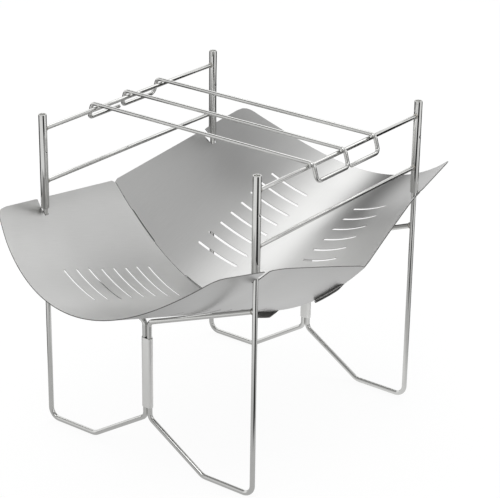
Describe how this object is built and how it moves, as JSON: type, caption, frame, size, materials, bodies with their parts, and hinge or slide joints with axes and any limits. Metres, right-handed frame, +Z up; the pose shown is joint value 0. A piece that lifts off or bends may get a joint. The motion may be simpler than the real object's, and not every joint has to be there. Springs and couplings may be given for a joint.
{
  "type": "campfire grill",
  "caption": "Folding stainless campfire grill: hinged wire legs, a slotted trough fire bed of hooked sheets, racks with rails and a hooked wire grid on top.",
  "frame": {"origin": "on the floor, midway between the four posts", "axes": "+X from the left rack to the right rack, +Y from the front leg frame to the rear one, +Z up"},
  "size_m": [0.2973, 0.4484, 0.31],
  "materials": {
    "wire": "polished stainless wire",
    "tube": "polished stainless tube",
    "sleeve": "satin pressed stainless",
    "sheet": "satin stainless sheet"
  },
  "bodies": {
    "left_rack": {"tube_front_left": "tube", "tube_rear_left": "tube", "rail_upper_left": "wire", "rail_lower_left": "wire"},
    "front_left_leg": {"leg_front_left": "wire"},
    "front_sleeve": {"hinge_sleeve_front": "sleeve"},
    "front_right_leg": {"leg_front_right": "wire"},
    "right_rack": {"tube_front_right": "tube", "tube_rear_right": "tube", "rail_upper_right": "wire", "rail_lower_right": "wire"},
    "rear_left_leg": {"leg_rear_left": "wire"},
    "rear_sleeve": {"hinge_sleeve_rear": "sleeve"},
    "rear_right_leg": {"leg_rear_right": "wire"},
    "fire_bed": {"bed_sheet_front": "sheet", "bed_sheet_rear": "sheet"},
    "grid": {"grid_wire": "wire"}
  },
  "joints": [
    {"name": "frame_fold", "type": "hinge", "parent": "left_rack", "child": "front_left_leg", "pos_m": [-0.1215, -0.1244, 0.1], "axis": [0, 0, 1], "range_deg": [0, 88]},
    {"name": "front_sleeve_turn", "type": "hinge", "parent": "front_left_leg", "child": "front_sleeve", "pos_m": [-0.00255, -0.1244, 0.1], "axis": [0, 0, 1], "range_deg": [-90, 0]},
    {"name": "front_right_turn", "type": "hinge", "parent": "front_sleeve", "child": "front_right_leg", "pos_m": [0.00255, -0.1244, 0.1], "axis": [0, 0, 1], "range_deg": [-90, 0]},
    {"name": "right_rack_turn", "type": "hinge", "parent": "front_right_leg", "child": "right_rack", "pos_m": [0.1215, -0.1244, 0.1], "axis": [0, 0, 1], "range_deg": [0, 90]},
    {"name": "rear_left_turn", "type": "hinge", "parent": "left_rack", "child": "rear_left_leg", "pos_m": [-0.1215, 0.1244, 0.1], "axis": [0, 0, 1], "range_deg": [-90, 0]},
    {"name": "rear_sleeve_turn", "type": "hinge", "parent": "rear_left_leg", "child": "rear_sleeve", "pos_m": [-0.00255, 0.1244, 0.1], "axis": [0, 0, 1], "range_deg": [0, 90]},
    {"name": "rear_right_turn", "type": "hinge", "parent": "rear_sleeve", "child": "rear_right_leg", "pos_m": [0.00255, 0.1244, 0.1], "axis": [0, 0, 1], "range_deg": [0, 90]},
    {"name": "bed_lift", "type": "slide", "parent": "left_rack", "child": "fire_bed", "axis": [0, 0, 1], "range_m": [0, 0.23], "deforming": ["bed_sheet_front", "bed_sheet_rear"]},
    {"name": "grid_slide", "type": "slide", "parent": "fire_bed", "child": "grid", "axis": [0, 1, 0], "range_m": [-0.06, 0.06]}
  ],
  "couplings": [
    {"joint": "front_sleeve_turn", "follows": "frame_fold", "ratio": -1},
    {"joint": "front_right_turn", "follows": "frame_fold", "ratio": -1},
    {"joint": "right_rack_turn", "follows": "frame_fold", "ratio": 1},
    {"joint": "rear_left_turn", "follows": "frame_fold", "ratio": -1},
    {"joint": "rear_sleeve_turn", "follows": "frame_fold", "ratio": 1},
    {"joint": "rear_right_turn", "follows": "frame_fold", "ratio": 1},
    {"joint": "bed_lift", "follows": "frame_fold", "m_per_rad": 0.144}
  ]
}
